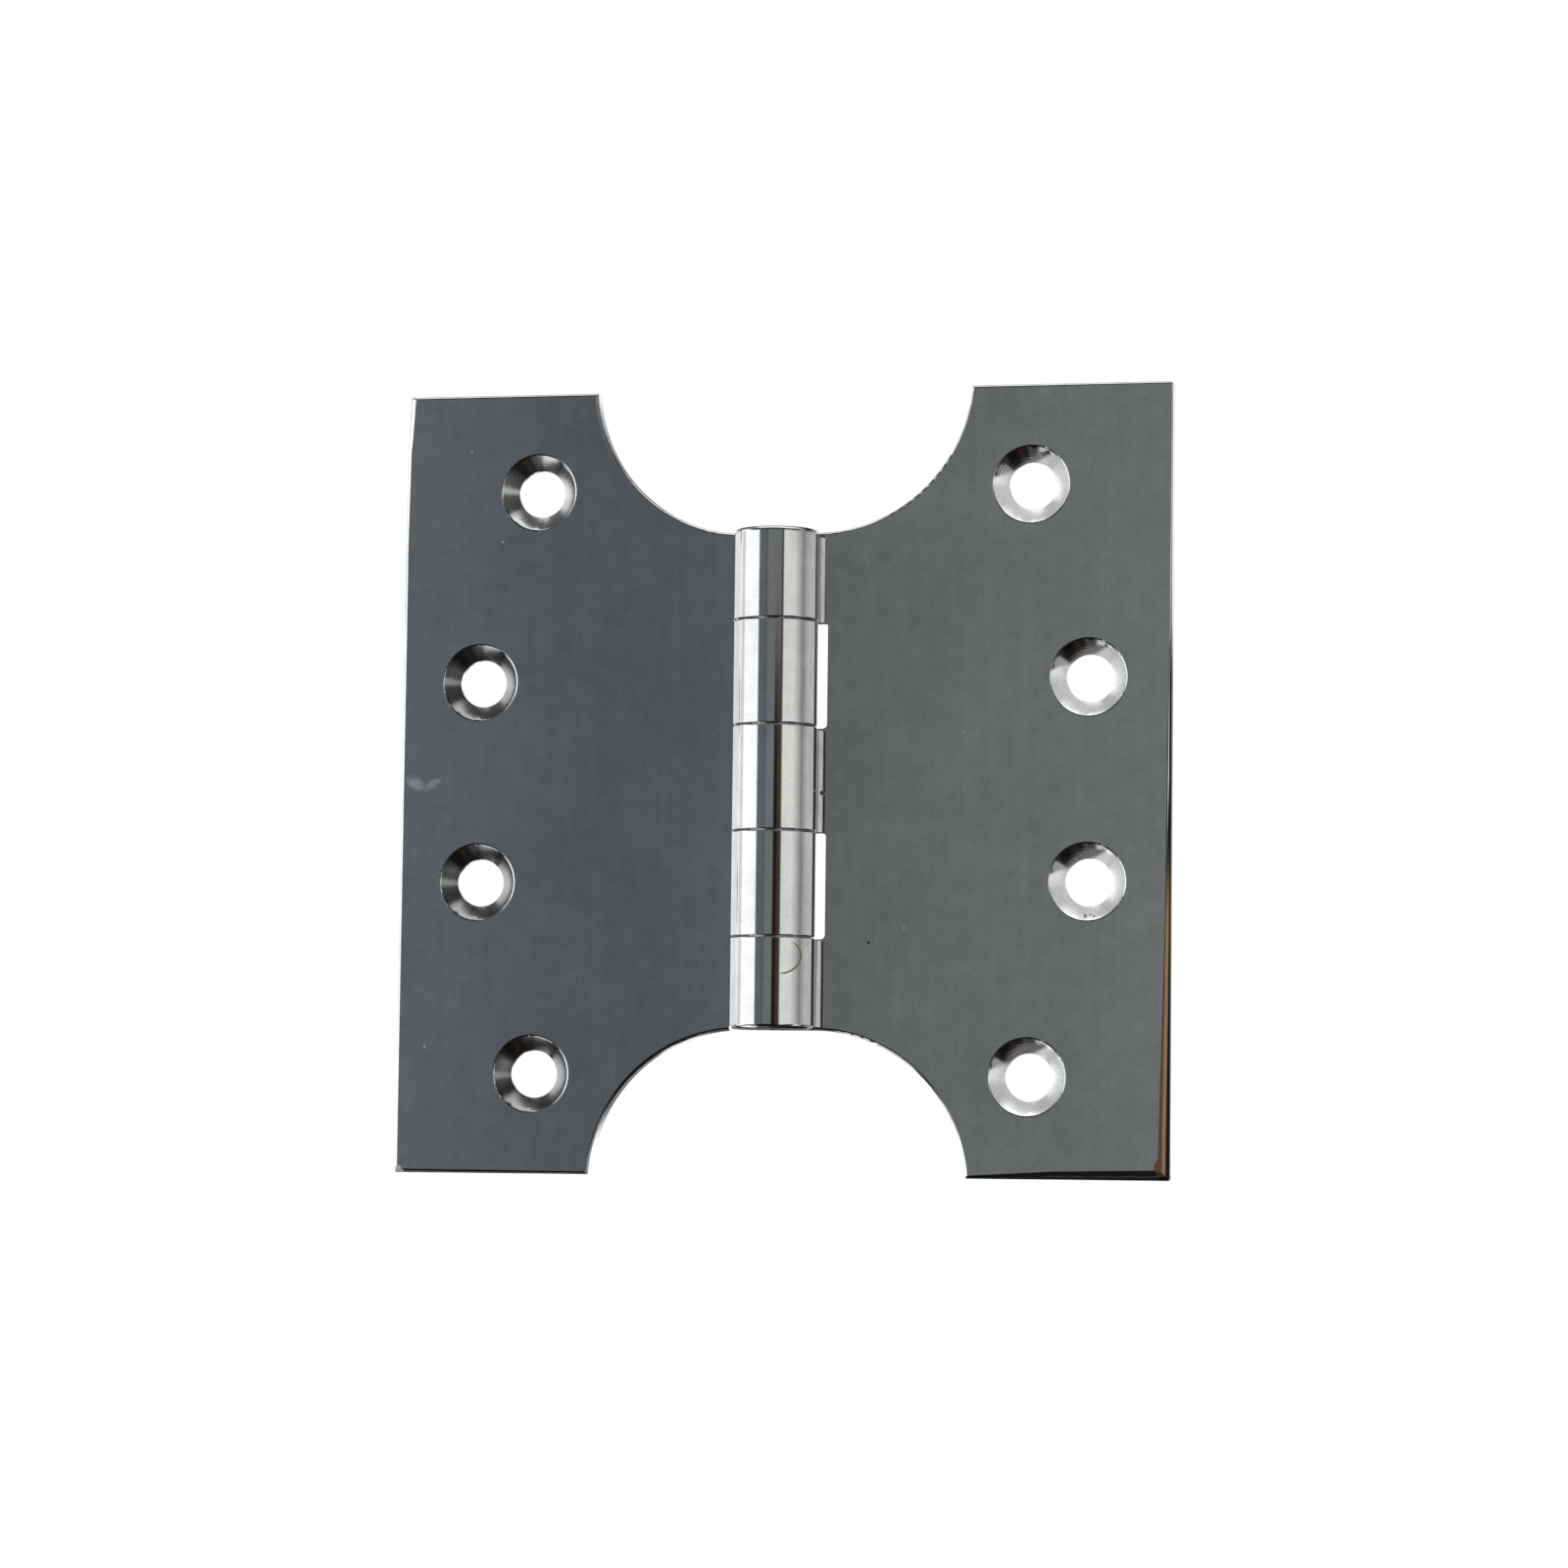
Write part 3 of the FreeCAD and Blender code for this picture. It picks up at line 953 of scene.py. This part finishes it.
def tent_tone(studio, tree, place):
    """Tone of the tent by the turn about the pin, the height and the depth."""
    across, depth, up = split_place(tree, place)
    ahead = calculate(tree, "MULTIPLY", depth, -1.0)
    below = calculate(tree, "MULTIPLY", up, -1.0)
    height = calculate(tree, "DIVIDE", up, studio.tent_radius)
    backward = calculate(tree, "DIVIDE", depth, studio.tent_radius)
    turn = turn_between(tree, across, ahead)

    # Panels all round, the dark strips beside the camera, and the panels overhead and below
    tone = side_panels(studio, tree, turn)
    for start, end, shade in ((11.0, 21.0, studio.camera_shade), (21.0, 28.0, studio.brown_shade)):
        strip = multiply(tree, window(tree, turn, start, end), ease(tree, height, *STRIP_TOP))
        tone = blend_colour(tree, strip, tone, shade)
    over = upper_panels(studio, tree, turn_between(tree, across, up))
    tone = blend_colour(tree, ease(tree, height, *OVERHEAD), tone, over)
    under = lower_panels(studio, tree, turn_between(tree, across, below))
    tone = blend_colour(tree, ease(tree, height, *UNDERFOOT), tone, under)

    # Cards on the right, which lean with their height
    leaning = calculate(tree, "MULTIPLY_ADD", height, -CARD_LEAN / 360.0, turn)
    for turns, heights, shade in (
        ((50.0, 77.3), (-0.70, -0.07), studio.right_card),
        ((50.0, 77.3), (0.16, 0.76), studio.right_card),
        ((77.3, 93.0), (-0.58, -0.035), studio.right_panel),
        ((77.3, 93.0), (0.18, 0.76), studio.right_grey),
        ((112.0, 152.0), (-0.60, -0.06), studio.room),
    ):
        tone = blend_colour(tree, card(tree, leaning, height, turns, heights), tone, shade)

    # High and low, ahead and behind: quiet tones that turn dark where it is steepest
    tilt = calculate(tree, "ABSOLUTE", height)
    near_level = blend_colour(tree, ease(tree, backward, *BEHIND), studio.front_middle, studio.room)
    quiet = blend_colour(tree, ease(tree, tilt, *STEEPEST), near_level, studio.dark)
    ahead_or_behind = ease(tree, calculate(tree, "ABSOLUTE", backward), *AHEAD_OR_BEHIND)
    tone = blend_colour(tree, multiply(tree, ease(tree, tilt, *STEEP), ahead_or_behind), tone, quiet)

    # Dark below the front, for the rolled lower edges
    below_front = multiply(tree, window(tree, turn, -30.0, 30.0), ease(tree, height, *BELOW_FRONT))
    return blend_colour(tree, multiply(tree, below_front, ahead_or_behind), tone, studio.dark)


def make_tent(studio):
    """The tent of white and dark panels that only the chrome's mirror sees."""
    bpy.ops.object.select_all(action="DESELECT")
    bpy.ops.mesh.primitive_uv_sphere_add(segments=48, ring_count=24, radius=studio.tent_radius)
    tent = bpy.context.active_object
    tent.name = "studio_tent"
    material, tree, shader, place = new_finish("tent_panels")
    glow = tree.nodes.new("ShaderNodeEmission")
    join(tree, tent_tone(studio, tree, place), glow.inputs["Color"])
    join(tree, glow.outputs[0], tree.nodes["Material Output"].inputs["Surface"])
    tree.nodes.remove(shader)
    tent.data.materials.append(material)
    tent.visible_camera = False
    tent.visible_diffuse = False
    tent.visible_transmission = False
    tent.visible_volume_scatter = False
    tent.visible_shadow = False


def make_lamps():
    """Two large soft lamps for the floor and for what is not metal."""
    for name, place, power, width in LAMPS:
        data = bpy.data.lights.new(name, "AREA")
        data.energy = power
        data.size = width
        lamp = bpy.data.objects.new(name, data)
        lamp.location = place
        lamp.rotation_euler = (-Vector(place)).to_track_quat("-Z", "Y").to_euler()
        lamp.visible_glossy = False
        bpy.context.scene.collection.objects.link(lamp)


class HINGE_OT_studio(bpy.types.Operator):
    """Sets the floor, the tent, the lamps, the white room and the camera"""

    bl_idname = "hinge.studio"
    bl_label = "Set the studio"

    def execute(self, context):
        studio = context.scene.hinge_studio
        context.scene.view_settings.view_transform = "Standard"
        make_world()
        make_floor(studio)
        make_tent(studio)
        make_lamps()
        make_camera(studio)
        return {"FINISHED"}


class HINGE_PT_panel(bpy.types.Panel):
    """Lists the hinge's pieces and its studio in the sidebar"""

    bl_idname = "HINGE_PT_panel"
    bl_label = "Parliament Hinge"
    bl_space_type = "VIEW_3D"
    bl_region_type = "UI"
    bl_category = "Hinge"

    def draw(self, context):
        for group in (context.scene.hinge_finish, context.scene.hinge_studio):
            box = self.layout.box()
            for name in group.__annotations__:
                box.prop(group, name)
        for operator in (HINGE_OT_leaves, HINGE_OT_pin, HINGE_OT_studio):
            self.layout.operator(operator.bl_idname)


CLASSES = (HingeFinish, HingeStudio, HINGE_OT_leaves, HINGE_OT_pin, HINGE_OT_studio, HINGE_PT_panel)


def register():
    for cls in CLASSES:
        bpy.utils.register_class(cls)
    bpy.types.Scene.hinge_finish = bpy.props.PointerProperty(type=HingeFinish)
    bpy.types.Scene.hinge_studio = bpy.props.PointerProperty(type=HingeStudio)


def unregister():
    del bpy.types.Scene.hinge_studio
    del bpy.types.Scene.hinge_finish
    for cls in reversed(CLASSES):
        bpy.utils.unregister_class(cls)


def main():
    register()
    bpy.ops.hinge.leaves()
    bpy.ops.hinge.pin()
    bpy.ops.hinge.studio()


if __name__ == "__main__":
    main()
